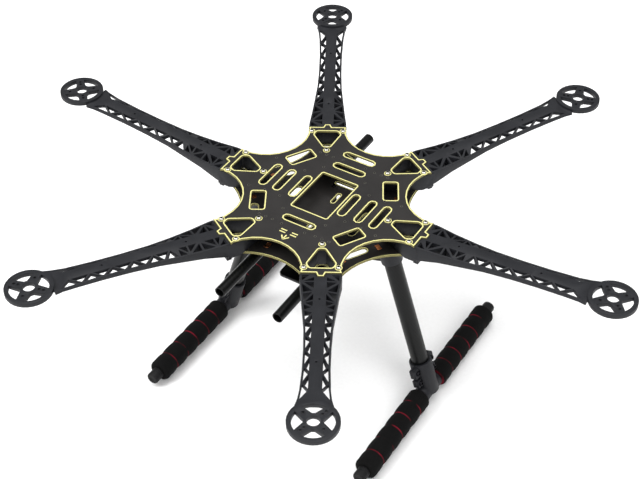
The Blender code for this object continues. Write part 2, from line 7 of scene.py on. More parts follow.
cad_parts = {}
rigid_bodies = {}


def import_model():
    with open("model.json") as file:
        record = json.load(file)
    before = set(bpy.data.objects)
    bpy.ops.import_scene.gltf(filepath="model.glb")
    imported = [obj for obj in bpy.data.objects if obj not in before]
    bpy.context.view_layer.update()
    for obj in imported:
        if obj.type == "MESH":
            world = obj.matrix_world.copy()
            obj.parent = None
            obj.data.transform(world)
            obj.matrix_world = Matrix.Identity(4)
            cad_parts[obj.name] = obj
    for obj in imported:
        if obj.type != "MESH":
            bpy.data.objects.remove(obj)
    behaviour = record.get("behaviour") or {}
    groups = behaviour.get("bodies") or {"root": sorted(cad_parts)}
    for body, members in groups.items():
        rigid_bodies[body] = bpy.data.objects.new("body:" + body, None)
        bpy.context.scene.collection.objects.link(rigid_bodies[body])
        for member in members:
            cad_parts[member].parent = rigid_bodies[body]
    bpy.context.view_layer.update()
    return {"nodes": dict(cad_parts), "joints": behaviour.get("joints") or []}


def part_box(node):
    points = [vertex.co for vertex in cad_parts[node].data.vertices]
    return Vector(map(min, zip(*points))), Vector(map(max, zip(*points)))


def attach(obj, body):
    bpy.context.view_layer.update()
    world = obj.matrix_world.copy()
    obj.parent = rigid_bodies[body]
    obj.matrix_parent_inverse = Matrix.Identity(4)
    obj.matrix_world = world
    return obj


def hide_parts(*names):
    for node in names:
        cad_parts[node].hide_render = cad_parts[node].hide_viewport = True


bl_info = {
    "name": "Hexacopter Airframe",
    "version": (1, 0, 0),
    "blender": (4, 5, 0),
    "location": "View3D > Sidebar > Airframe",
    "description": "Builds the visible pieces of a six-arm airframe round its packed frame",
    "category": "Add Mesh",
}

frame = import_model()

MM = 0.001
ARM_ANGLES = (-60, -120, 180, 120, 60, 0)
SIDES = ("left", "right")
ENDS = ("front", "rear")

# heights of the boards' faces
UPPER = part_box("top_plate")[1].z
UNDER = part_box("bottom_plate")[0].z
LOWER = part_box("bottom_plate")[1].z

# distance out along an arm and across it, of the screws above and below
INNER_SCREW = (0.0653, 0.0)
OUTER_SCREWS = {"a": (0.0946, 0.0148), "b": (0.0946, -0.0148)}
UNDER_SCREWS = {"a": (0.0653, 0.0), "b": (0.0945, 0.0082), "c": (0.0945, -0.0082)}

PLATING = 0.00006
SEAT = 0.0001
SMALL_TUBE = (0.005, 0.004)
LEG_TUBE = (0.008, 0.007)
TUBE_EDGE = 0.0003

# the foam sleeve: outer and inner radius, its rounded ends and its bands
FOAM_RADIUS = 0.01085
FOAM_BORE = 0.0054
FOAM_ROUND = 0.0034
FOAM_STEPS = 6
BAND_COUNT = 5
BAND_DIP = 0.00015
BAND_REACH = 0.00065

CAP_RADIUS = 0.006
CAP_BORE = 0.0053

CAMERA_PLACE = (0.50993, -0.82091, 1.00623)
CAMERA_FORWARD = (-0.3967, 0.6324, -0.6653)
CAMERA_RIGHT = (0.8494, 0.5277, -0.0048)
CAMERA_LENS = 79.37
SKY_STRENGTH = 0.42
LIGHT_TARGET = (0.0, 0.0, 0.15)
# place, size and power of each lamp
LAMPS = {
    "key": ((-1.4, -1.6, 2.6), 1.6, 80.0),
    "fill": ((2.0, -0.9, 2.0), 1.6, 34.0),
    "top": ((0.0, 0.3, 3.0), 2.6, 62.0),
}


# ---- settings ------------------------------------------------------------------------------------
def colour_setting(name, description, code):
    return bpy.props.StringProperty(name=name, description=description, default=code)


def length_setting(name, description, metres):
    return bpy.props.FloatProperty(name=name, description=description, default=metres, min=0.0,
                                   subtype="DISTANCE", unit="LENGTH")


class AirframeColours(bpy.types.PropertyGroup):
    mask: colour_setting("Solder mask", "Colour of the boards' faces", "#1f1d1c")
    gilt: colour_setting("Gilt trace", "Colour of the plated lines round the cut-outs", "#e9e398")
    laminate: colour_setting("Board edge", "Colour of the routed laminate edge", "#8f8750")
    nylon: colour_setting("Nylon", "Colour of the moulded arms and brackets", "#191a1e")
    tube: colour_setting("Tube", "Colour of rails, legs and skids", "#070808")
    foam: colour_setting("Foam", "Colour of the skid sleeves", "#050505")
    rubber: colour_setting("Rubber", "Colour of the caps and bushes", "#0e0e0f")
    stripe: colour_setting("Stripe", "Colour of the bands in the skid sleeves", "#640a1c")
    floor: colour_setting("Floor", "Colour of the floor", "#ffffff")


class AirframeSizes(bpy.types.PropertyGroup):
    trace: length_setting("Upper trace width", "Width of the upper board's gilt lines", 0.0011)
    lower_trace: length_setting("Lower trace width", "Width of the lower board's gilt lines", 0.0008)
    trace_margin: length_setting("Trace margin", "Bare edge outside the gilt lines", 0.0003)
    arm_edge: length_setting("Arm edge radius", "Rounding of the moulded arms' edges", 0.0004)
    bracket_edge: length_setting("Bracket edge radius", "Rounding of the brackets' edges", 0.0006)
    stripe_pitch: length_setting("Stripe pitch", "Distance between bands on a sleeve", 0.0172)
    foam_swell: length_setting("Foam swell", "How far the foam bulges between bands", 0.0005)


def colours():
    return bpy.context.scene.airframe_colours


def sizes():
    return bpy.context.scene.airframe_sizes


# ---- materials -----------------------------------------------------------------------------------
def linear(code):
    """An sRGB hex colour as linear red, green, blue and alpha."""
    parts = [int(code[i:i + 2], 16) / 255 for i in (1, 3, 5)]
    return tuple(p / 12.92 if p <= 0.04045 else ((p + 0.055) / 1.055) ** 2.4 for p in parts) + (1.0,)


def add_node(material, kind, inputs=(), stops=(), **settings):
    """Adds a node; an input is a socket to link from or a value, a stop a position and colour."""
    tree = material.node_tree
    node = tree.nodes.new(kind)
    for key, value in settings.items():
        setattr(node, key, value)
    for key, value in dict(inputs).items():
        if isinstance(value, bpy.types.NodeSocket):
            tree.links.new(value, node.inputs[key])
        else:
            node.inputs[key].default_value = value
    if stops:
        elements = node.color_ramp.elements
        while len(elements) < len(stops):
            elements.new(1.0)
        for element, (position, colour) in zip(elements, stops):
            element.position = position
            element.color = colour
    return node


def new_material(name, **values):
    """A material whose shader takes the plain values given."""
    material = bpy.data.materials.new(name)
    material.use_nodes = True
    shader = material.node_tree.nodes["Principled BSDF"]
    for key, value in values.items():
        shader.inputs[key.replace("_", " ")].default_value = value
    return material


def feed(material, **sockets):
    """Links sockets into the material's shader by the names of its inputs."""
    shader = material.node_tree.nodes["Principled BSDF"]
    for key, socket in sockets.items():
        material.node_tree.links.new(socket, shader.inputs[key.replace("_", " ")])
    return material


def shade_of(code, factor):
    """A hex colour made darker or lighter."""
    r, g, b, a = linear(code)
    return (r * factor, g * factor, b * factor, a)


def board_mask(code):
    # Matt black solder mask printed over woven glass: a smooth dark face whose cloth just shows
    # as a faint square ripple, and copper fill that lifts it in soft patches.
    material = new_material("matt_solder_mask_over_glass_cloth", IOR=1.52, Specular_IOR_Level=0.3)
    place = add_node(material, "ShaderNodeTexCoord").outputs["Object"]
    patches = add_node(material, "ShaderNodeTexNoise", {"Vector": place, "Scale": 45.0, "Detail": 3.0})
    tint = add_node(material, "ShaderNodeValToRGB", {"Fac": patches.outputs["Fac"]},
                    [(0.35, shade_of(code, 0.86)), (0.65, shade_of(code, 1.16))])
    # glass cloth of about 0.6 mm per thread pair, drawn at 1.2 mm so that it can show
    threads = [add_node(material, "ShaderNodeTexWave", {"Vector": place, "Scale": 260.0, "Distortion": 0.4},
                        bands_direction=way).outputs["Fac"] for way in ("X", "Y")]
    cloth = add_node(material, "ShaderNodeMath", {0: threads[0], 1: threads[1]}, operation="MAXIMUM")
    bump = add_node(material, "ShaderNodeBump", {"Height": cloth.outputs[0], "Strength": 0.1,
                                                 "Distance": 0.0001})
    sheen = add_node(material, "ShaderNodeMapRange", {"Value": patches.outputs["Fac"], "To Min": 0.36,
                                                      "To Max": 0.5})
    return feed(material, Base_Color=tint.outputs["Color"], Normal=bump.outputs["Normal"],
                Roughness=sheen.outputs["Result"])


def gilt_trace(code):
    # Copper line with a flash of gold under clear lacquer: pale, warm and a little uneven.
    material = new_material("gold_flashed_copper_trace", Metallic=0.25, IOR=1.5, Roughness=0.38)
    place = add_node(material, "ShaderNodeTexCoord").outputs["Object"]
    grain = add_node(material, "ShaderNodeTexNoise", {"Vector": place, "Scale": 700.0, "Detail": 2.0})
    tint = add_node(material, "ShaderNodeValToRGB", {"Fac": grain.outputs["Fac"]},
                    [(0.3, shade_of(code, 0.82)), (0.7, shade_of(code, 1.05))])
    bump = add_node(material, "ShaderNodeBump", {"Height": grain.outputs["Fac"], "Strength": 0.15,
                                                 "Distance": 0.00005})
    return feed(material, Base_Color=tint.outputs["Color"], Normal=bump.outputs["Normal"])


def board_edge(code):
    # Routed glass laminate: the saw opens pale fibre layers of about 0.2 mm in the resin.
    material = new_material("routed_glass_laminate", Roughness=0.7, IOR=1.5)
    place = add_node(material, "ShaderNodeTexCoord").outputs["Object"]
    layers = add_node(material, "ShaderNodeTexWave", {"Vector": place, "Scale": 900.0, "Distortion": 2.0},
                      bands_direction="Z")
    tint = add_node(material, "ShaderNodeValToRGB", {"Fac": layers.outputs["Fac"]},
                    [(0.2, shade_of(code, 0.45)), (0.8, shade_of(code, 1.0))])
    return feed(material, Base_Color=tint.outputs["Color"])


def moulded_nylon(code):
    # Glass-filled nylon from an etched tool: charcoal with a dry spark grain of 0.3 to 0.5 mm,
    # slightly paler where the glass floats up.
    material = new_material("glass_filled_nylon_moulding", IOR=1.53, Specular_IOR_Level=0.25)
    place = add_node(material, "ShaderNodeTexCoord").outputs["Object"]
    grain = add_node(material, "ShaderNodeTexNoise", {"Vector": place, "Scale": 1500.0, "Detail": 2.0})
    flow = add_node(material, "ShaderNodeTexNoise", {"Vector": place, "Scale": 60.0, "Detail": 4.0,
                                                     "Roughness": 0.6})
    mixed = add_node(material, "ShaderNodeMath", {0: grain.outputs["Fac"], 1: flow.outputs["Fac"]},
                     operation="MULTIPLY")
    tint = add_node(material, "ShaderNodeValToRGB", {"Fac": mixed.outputs[0]},
                    [(0.15, shade_of(code, 0.8)), (0.4, shade_of(code, 1.22))])
    bump = add_node(material, "ShaderNodeBump", {"Height": grain.outputs["Fac"], "Strength": 0.25,
                                                 "Distance": 0.00008})
    sheen = add_node(material, "ShaderNodeMapRange", {"Value": flow.outputs["Fac"], "To Min": 0.42,
                                                      "To Max": 0.6})
    return feed(material, Base_Color=tint.outputs["Color"], Normal=bump.outputs["Normal"],
                Roughness=sheen.outputs["Result"])


def wound_carbon(code):
    # Roll-wrapped carbon tube, centreless ground and left satin: near black, with 2 mm tows that
    # only show as a shift of gloss.
    material = new_material("roll_wrapped_carbon_tube", IOR=1.5, Specular_IOR_Level=0.2)
    place = add_node(material, "ShaderNodeTexCoord").outputs["Object"]
    tows = add_node(material, "ShaderNodeTexWave", {"Vector": place, "Scale": 160.0, "Distortion": 1.5,
                                                    "Detail": 1.0}, bands_direction="DIAGONAL")
    fine = add_node(material, "ShaderNodeTexNoise", {"Vector": place, "Scale": 900.0})
    tint = add_node(material, "ShaderNodeValToRGB", {"Fac": tows.outputs["Fac"]},
                    [(0.2, shade_of(code, 0.8)), (0.8, shade_of(code, 1.3))])
    sheen = add_node(material, "ShaderNodeMapRange", {"Value": tows.outputs["Fac"], "To Min": 0.28,
                                                      "To Max": 0.38})
    bump = add_node(material, "ShaderNodeBump", {"Height": fine.outputs["Fac"], "Strength": 0.08,
                                                 "Distance": 0.00005})
    return feed(material, Base_Color=tint.outputs["Color"], Normal=bump.outputs["Normal"],
                Roughness=sheen.outputs["Result"])


def striped_foam(code, stripe):
    # Closed-cell rubber foam, ground to a dull velvety skin with 0.4 mm pores. A second colour
    # is laminated in as thin bands, marked on the mesh by the stripe attribute.
    material = new_material("laminated_nitrile_foam", Roughness=0.92, IOR=1.45, Specular_IOR_Level=0.2)
    place = add_node(material, "ShaderNodeTexCoord").outputs["Object"]
    pores = add_node(material, "ShaderNodeTexVoronoi", {"Vector": place, "Scale": 1600.0})
    wear = add_node(material, "ShaderNodeTexNoise", {"Vector": place, "Scale": 120.0, "Detail": 3.0})
    dark = add_node(material, "ShaderNodeValToRGB", {"Fac": wear.outputs["Fac"]},
                    [(0.3, shade_of(code, 0.75)), (0.75, shade_of(code, 1.5))])
    smear = add_node(material, "ShaderNodeTexNoise", {"Vector": place, "Scale": 75.0, "Detail": 2.0})
    red = add_node(material, "ShaderNodeValToRGB", {"Fac": smear.outputs["Fac"]},
                   [(0.38, shade_of(code, 1.4)), (0.5, shade_of(stripe, 0.5)),
                    (0.64, shade_of(stripe, 1.1))])
    band = add_node(material, "ShaderNodeAttribute", attribute_name="stripe")
    # with its data type set first, the mix node's colours are its sockets 6 and 7, and 2 comes out
    mix = add_node(material, "ShaderNodeMix", {"Factor": band.outputs["Fac"], 6: dark.outputs["Color"],
                                               7: red.outputs["Color"]}, data_type="RGBA")
    bump = add_node(material, "ShaderNodeBump", {"Height": pores.outputs["Distance"], "Strength": 0.35,
                                                 "Distance": 0.0002})
    return feed(material, Base_Color=mix.outputs[2], Normal=bump.outputs["Normal"])


def moulded_rubber(code):
    # Soft black rubber straight from the mould: matt, with a bloom that greys it in patches.
    material = new_material("black_rubber_moulding", Roughness=0.62, IOR=1.52, Specular_IOR_Level=0.2)
    place = add_node(material, "ShaderNodeTexCoord").outputs["Object"]
    bloom = add_node(material, "ShaderNodeTexNoise", {"Vector": place, "Scale": 220.0, "Detail": 4.0})
    tint = add_node(material, "ShaderNodeValToRGB", {"Fac": bloom.outputs["Fac"]},
                    [(0.35, shade_of(code, 0.7)), (0.75, shade_of(code, 1.6))])
    bump = add_node(material, "ShaderNodeBump", {"Height": bloom.outputs["Fac"], "Strength": 0.2,
                                                 "Distance": 0.0001})
    return feed(material, Base_Color=tint.outputs["Color"], Normal=bump.outputs["Normal"])


def fastener_steel(name, code, rough):
    # Cold-headed screw steel: turned and tumbled, so its gloss is broken by fine random scuffs.
    material = new_material(name, Metallic=1.0)
    place = add_node(material, "ShaderNodeTexCoord").outputs["Object"]
    scuffs = add_node(material, "ShaderNodeTexNoise", {"Vector": place, "Scale": 1400.0, "Detail": 5.0})
    tint = add_node(material, "ShaderNodeValToRGB", {"Fac": scuffs.outputs["Fac"]},
                    [(0.3, shade_of(code, 0.7)), (0.7, shade_of(code, 1.1))])
    sheen = add_node(material, "ShaderNodeMapRange", {"Value": scuffs.outputs["Fac"],
                                                      "To Min": rough - 0.1, "To Max": rough + 0.15})
    return feed(material, Base_Color=tint.outputs["Color"], Roughness=sheen.outputs["Result"])


def finishes():
    """Every finish by name, made once."""
    made = bpy.data.materials
    if "matt_solder_mask_over_glass_cloth" not in made:
        c = colours()
        board_mask(c.mask)
        gilt_trace(c.gilt)
        board_edge(c.laminate)
        moulded_nylon(c.nylon)
        wound_carbon(c.tube)
        striped_foam(c.foam, c.stripe)
        moulded_rubber(c.rubber)
        fastener_steel("zinc_plated_screw_steel", "#d9d7cf", 0.3)
        fastener_steel("black_oxide_screw_steel", "#232326", 0.36)
        fastener_steel("bare_copper_pad", "#d98a5a", 0.32)
        fastener_steel("tarnished_tin_eyelet", "#77756c", 0.45)
    return {"mask": made["matt_solder_mask_over_glass_cloth"], "gilt": made["gold_flashed_copper_trace"],
            "edge": made["routed_glass_laminate"], "nylon": made["glass_filled_nylon_moulding"],
            "tube": made["roll_wrapped_carbon_tube"], "foam": made["laminated_nitrile_foam"],
            "rubber": made["black_rubber_moulding"], "bright": made["zinc_plated_screw_steel"],
            "black": made["black_oxide_screw_steel"], "copper": made["bare_copper_pad"],
            "tin": made["tarnished_tin_eyelet"]}


# ---- modelling helpers ---------------------------------------------------------------------------
def only(obj):
    """Object mode with just this object selected and active."""
    if bpy.context.mode != "OBJECT":
        bpy.ops.object.mode_set(mode="OBJECT")
    bpy.ops.object.select_all(action="DESELECT")
    obj.select_set(True)
    bpy.context.view_layer.objects.active = obj
    return obj


def edit(obj, kind="FACE"):
    """Edit mode on this object alone, picking faces, edges or vertices."""
    only(obj)
    bpy.ops.object.mode_set(mode="EDIT")
    bpy.ops.mesh.select_mode(type=kind)


def select_faces(obj, test):
    """Leaves edit mode for a moment and selects the faces that pass."""
    bpy.ops.object.mode_set(mode="OBJECT")
    for item in list(obj.data.vertices) + list(obj.data.edges):
        item.select = False
    for face in obj.data.polygons:
        face.select = test(face)
    bpy.ops.object.mode_set(mode="EDIT")


def apply_modifier(obj, kind, **settings):
    """Adds a modifier, sets it and applies it."""
    only(obj)
    modifier = obj.modifiers.new(kind.title(), kind)
    for key, value in settings.items():
        setattr(modifier, key, value)
    bpy.ops.object.modifier_apply(modifier=modifier.name)


def smooth(obj, degrees=32.0):
    only(obj)
    bpy.ops.object.shade_smooth_by_angle(angle=math.radians(degrees))


def outward(obj):
    """Merges doubles and turns every face outwards."""
    edit(obj)
    bpy.ops.mesh.select_all(action="SELECT")
    bpy.ops.mesh.remove_doubles(threshold=0.000002)
    bpy.ops.mesh.normals_make_consistent(inside=False)
    bpy.ops.object.mode_set(mode="OBJECT")


def from_cad(node, name, flat=0.2):
    """A merged copy of a CAD solid with its flat faces made whole again."""
    mesh = frame["nodes"][node].data.copy()
    mesh.materials.clear()
    obj = bpy.data.objects.new(name, mesh)
    bpy.context.scene.collection.objects.link(obj)
    edit(obj)
    bpy.ops.mesh.select_all(action="SELECT")
    bpy.ops.mesh.remove_doubles(threshold=0.000005)
    if flat:
        bpy.ops.mesh.dissolve_limited(angle_limit=math.radians(flat))
    bpy.ops.object.mode_set(mode="OBJECT")
    if mesh.has_custom_normals:
        bpy.ops.mesh.customdata_custom_splitnormals_clear()
    return obj


def soften(obj, width):
    """Rounds the sharp edges of a moulding."""
    apply_modifier(obj, "BEVEL", width=width, segments=2, limit_method="ANGLE",
                   angle_limit=math.radians(38.0), use_clamp_overlap=True)
    smooth(obj)


def turned(name, profile, sides=48, closed=False):
    """A turned piece from (radius, height) steps: a circle extruded and resized step by step."""
    bpy.ops.object.select_all(action="DESELECT")
    radius, height = profile[0]
    bpy.ops.mesh.primitive_circle_add(vertices=sides, radius=radius, location=(0.0, 0.0, height),
                                      fill_type="NOTHING" if closed else "NGON")
    obj = bpy.context.object
    obj.name = name
    obj.data.name = name
    bpy.ops.object.transform_apply(location=True)
    edit(obj, "VERT")
    bpy.ops.mesh.select_all(action="SELECT")
    steps = profile[1:] + profile[:1] if closed else profile[1:]
    for r, z in steps:
        bpy.ops.mesh.extrude_region_move(TRANSFORM_OT_translate={"value": (0.0, 0.0, z - height)})
        bpy.ops.transform.resize(value=(r / radius, r / radius, 1.0))
        radius, height = r, z
    outward(obj)
    return obj


def placed(obj, matrix):
    """Puts a piece in its place in its own mesh."""
    obj.data.transform(matrix)
    obj.data.update()
    return obj


def copy_to(obj, name, matrix):
    """A copy with its own mesh, put in place in that mesh."""
    twin = bpy.data.objects.new(name, obj.data.copy())
    bpy.context.scene.collection.objects.link(twin)
    return placed(twin, matrix)


def done(obj, body, slot, materials, *nodes):
    """Finish, body and the CAD nodes that a piece stands for."""
    if not obj.data.materials:
        for material in materials:
            obj.data.materials.append(material)
    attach(obj, body)
    if nodes:
        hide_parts(*nodes)


def drop(obj):
    bpy.data.objects.remove(obj, do_unlink=True)


def shift(x, y, z):
    return Matrix.Translation((x, y, z))


def spin(degrees, axis="Z"):
    return Matrix.Rotation(math.radians(degrees), 4, axis)


def leg_frame(side):
    """Origin on the skid axis; local +Z runs up the leg and local +X outwards."""
    low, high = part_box(f"skid_tube_{side}")
    foot = (low + high) / 2
    joint = next(j for j in frame["joints"] if j["name"] == f"leg_{side}_pull")
    up = -Vector(joint["axis"]).normalized()
    along = Vector((0.0, 1.0 if foot.x > 0 else -1.0, 0.0))
    out = along.cross(up)
    matrix = Matrix((out, along, up)).transposed().to_4x4()
    matrix.translation = foot
    return matrix


def screw_spots(radial, across):
    """A place in an arm's own frame, repeated for the six arms."""
    return [(spin(angle) @ Vector((radial, across, 0.0))).xy for angle in ARM_ANGLES]


def context_object(name):
    """The active object, renamed."""
    obj = bpy.context.view_layer.objects.active
    obj.name = name
    obj.data.name = name
    return obj


def join_parts(name, prefix, material, slot="circuit_board"):
    """Joins all copies of a repeated detail into one piece on the airframe."""
    parts = [o for o in bpy.data.objects if o.name.startswith(prefix)]
    only(parts[0])
    for part in parts:
        part.select_set(True)
    bpy.ops.object.join()
    obj = context_object(name)
    smooth(obj)
    done(obj, "airframe", slot, (material,))


# ---- centre boards -------------------------------------------------------------------------------
def board(node, name, closed_spots, trace, margin):
    """A board from its CAD face: small holes closed, trace lines inset, then given its thickness."""
    low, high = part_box(node)
    obj = from_cad(node, name, flat=0)
    edit(obj)
    select_faces(obj, lambda f: f.normal.z < 0.9)
    bpy.ops.mesh.delete(type="FACE")
    if closed_spots:
        bpy.ops.object.mode_set(mode="OBJECT")
        for vertex in obj.data.vertices:
            vertex.select = any((vertex.co.xy - spot).length < 0.0022 for spot in closed_spots)
        bpy.ops.object.mode_set(mode="EDIT")
        bpy.ops.mesh.select_mode(type="VERT")
        bpy.ops.mesh.fill_holes(sides=9)
        bpy.ops.mesh.select_mode(type="FACE")
    for material in (finishes()["mask"], finishes()["gilt"], finishes()["edge"]):
        obj.data.materials.append(material)
    bpy.ops.mesh.select_all(action="SELECT")
    bpy.ops.mesh.normals_make_consistent(inside=False)
    obj.active_material_index = 0
    bpy.ops.object.material_slot_assign()
    bpy.ops.mesh.inset(thickness=margin, depth=0.0, use_boundary=True, use_even_offset=True)
    obj.active_material_index = 1
    bpy.ops.object.material_slot_assign()
    bpy.ops.mesh.inset(thickness=trace, depth=0.0, use_boundary=True, use_even_offset=True)
    obj.active_material_index = 0
    bpy.ops.object.material_slot_assign()
    bpy.ops.object.mode_set(mode="OBJECT")
    if obj.data.polygons[0].normal.z < 0:
        obj.data.flip_normals()
    apply_modifier(obj, "SOLIDIFY", thickness=high.z - low.z, offset=-1.0, material_offset_rim=2,
                   use_even_offset=True)
    smooth(obj, 20.0)
    return obj


class AIRFRAME_OT_boards(bpy.types.Operator):
    """Upper and lower centre boards with gilt lines round every cut-out"""
    bl_idname = "airframe.boards"
    bl_label = "Centre Boards"
    bl_options = {"REGISTER", "UNDO"}

    def execute(self, context):
        s = sizes()
        upper = board("top_plate", "upper_board", screw_spots(*INNER_SCREW), s.trace, s.trace_margin)
        done(upper, "airframe", "circuit_board", (), "top_plate")
        lower = board("bottom_plate", "lower_board", [], s.lower_trace, s.trace_margin)
        done(lower, "airframe", "circuit_board", (), "bottom_plate")
        return {"FINISHED"}


class AIRFRAME_OT_board_details(bpy.types.Operator):
    """Plated holes, solder pads and a plain forward arrow on the boards"""
    bl_idname = "airframe.board_details"
    bl_label = "Board Details"
    bl_options = {"REGISTER", "UNDO"}

    def execute(self, context):
        self.plated_holes()
        self.screw_rings()
        self.pads()
        self.arrow()
        return {"FINISHED"}

    def plated_holes(self):
        """Plated holes in the rows where brackets can be screwed on, each filled with a dark disc of
        painted shade.
        """
        rim, hole = 0.00125, 0.0009
        ring = turned("eyelet", [(rim, UPPER), (rim, UPPER + PLATING), (hole, UPPER + PLATING),
                                 (hole, UPPER)], 16, closed=True)
        # a dark disc sunk in each hole is painted shade, standing for the hole's dark inside
        plug = turned("hole_shadow", [(hole, UPPER), (hole, UPPER + PLATING / 2)], 16)
        rows = ((22, 51), (29, 51), (36, 51), (22, 34), (34, 21), (50, 21), (66, 23), (12, 52))
        spots = [(sx * x, sy * y) for x, y in rows for sx in (1, -1) for sy in (1, -1)]
        for name, base, key in (("eyelets", ring, "tin"), ("eyelet_holes", plug, "rubber")):
            for number, (x, y) in enumerate(spots):
                copy_to(base, f"{name}_part_{number}", shift(x * MM, y * MM, 0.0))
            join_parts(name, f"{name}_part_", finishes()[key])
            drop(base)

    def screw_rings(self):
        """Gilt lands under the arm screws."""
        rim, hole = 0.0033, 0.0026
        ring = turned("ring_master", [(rim, UPPER), (rim, UPPER + PLATING), (hole, UPPER + PLATING),
                                      (hole, UPPER)], 24, closed=True)
        for number, spot in enumerate(screw_spots(*INNER_SCREW)):
            copy_to(ring, f"ring_part_{number}", shift(spot.x, spot.y, 0.0))
        for tag, place in OUTER_SCREWS.items():
            for number, spot in enumerate(screw_spots(*place)):
                copy_to(ring, f"ring_part_{number}{tag}", shift(spot.x, spot.y, 0.0))
        drop(ring)
        join_parts("screw_rings", "ring_part_", finishes()["gilt"])

    def pads(self):
        """Rounded solder lands beside each arm on the lower board."""
        bpy.ops.object.select_all(action="DESELECT")
        bpy.ops.mesh.primitive_cube_add(size=1.0)
        pad = context_object("pad_master")
        placed(pad, Matrix.Diagonal((0.0064, 0.0042, 0.0005, 1.0)))
        apply_modifier(pad, "BEVEL", width=0.0018, segments=4, affect="EDGES", limit_method="ANGLE")
        for angle in ARM_ANGLES:
            for side in (1, -1):
                spot = spin(angle) @ shift(0.066, side * 0.0175, LOWER + SEAT) @ spin(30 * side)
                copy_to(pad, f"pad_part_{angle}_{side}", spot)
        drop(pad)
        join_parts("solder_pads", "pad_part_", finishes()["copper"])

    def arrow(self):
        """A plain arrow with two short bars on each side, which shows the way forward."""
        bpy.ops.object.select_all(action="DESELECT")
        bpy.ops.mesh.primitive_plane_add(size=1.0)
        bar = context_object("mark_bar")
        placed(bar, Matrix.Diagonal((0.0012, 0.006, 1.0, 1.0)))
        edit(bar)
        bpy.ops.mesh.select_all(action="SELECT")
        bpy.ops.mesh.extrude_region_move(TRANSFORM_OT_translate={"value": (0.0, 0.0, PLATING)})
        bpy.ops.mesh.select_all(action="SELECT")
        bpy.ops.mesh.normals_make_consistent(inside=False)
        bpy.ops.object.mode_set(mode="OBJECT")
        strokes = [(-1.9, -66.5, 40), (1.9, -66.5, -40), (0.0, -65.5, 0), (-5.5, -57.5, 90),
                   (5.5, -57.5, 90), (-5.5, -60.5, 90), (5.5, -60.5, 90)]
        for number, (x, y, turn) in enumerate(strokes):
            copy_to(bar, f"mark_part_{number}", shift(x * MM, y * MM, UPPER) @ spin(turn))
        drop(bar)
        join_parts("forward_arrow", "mark_part_", finishes()["gilt"])


# ---- arms ----------------------------------------------------------------------------------------
class AIRFRAME_OT_arms(bpy.types.Operator):
    """Six moulded truss arms with rounded edges"""
    bl_idname = "airframe.arms"
    bl_label = "Truss Arms"
    bl_options = {"REGISTER", "UNDO"}

    def execute(self, context):
        master = from_cad("arm_6", "arm_master")
        soften(master, sizes().arm_edge)
        for number, angle in enumerate(ARM_ANGLES, 1):
            arm = copy_to(master, f"truss_arm_{number}", spin(angle))
            done(arm, "airframe", "nylon", (finishes()["nylon"],), f"arm_{number}")
        drop(master)
        return {"FINISHED"}


# ---- fasteners -----------------------------------------------------------------------------------
def button_screw(name, head, height, shank, length, socket):
    """A button-head screw standing on z = 0 with a hexagon socket, its shank pointing down."""
    screw = turned(name, [(shank, -length), (shank, 0.0), (head, 0.0), (head, height * 0.25),
                          (head * 0.93, height * 0.6), (head * 0.78, height * 0.88),
                          (head * 0.6, height)], 28)
    bpy.ops.object.select_all(action="DESELECT")
    bpy.ops.mesh.primitive_cylinder_add(vertices=6, radius=socket, depth=height * 1.3,
                                        location=(0.0, 0.0, height * 0.95))
    key = context_object("socket_cutter")
    apply_modifier(screw, "BOOLEAN", operation="DIFFERENCE", object=key, solver="EXACT")
    drop(key)
    smooth(screw)
    return screw


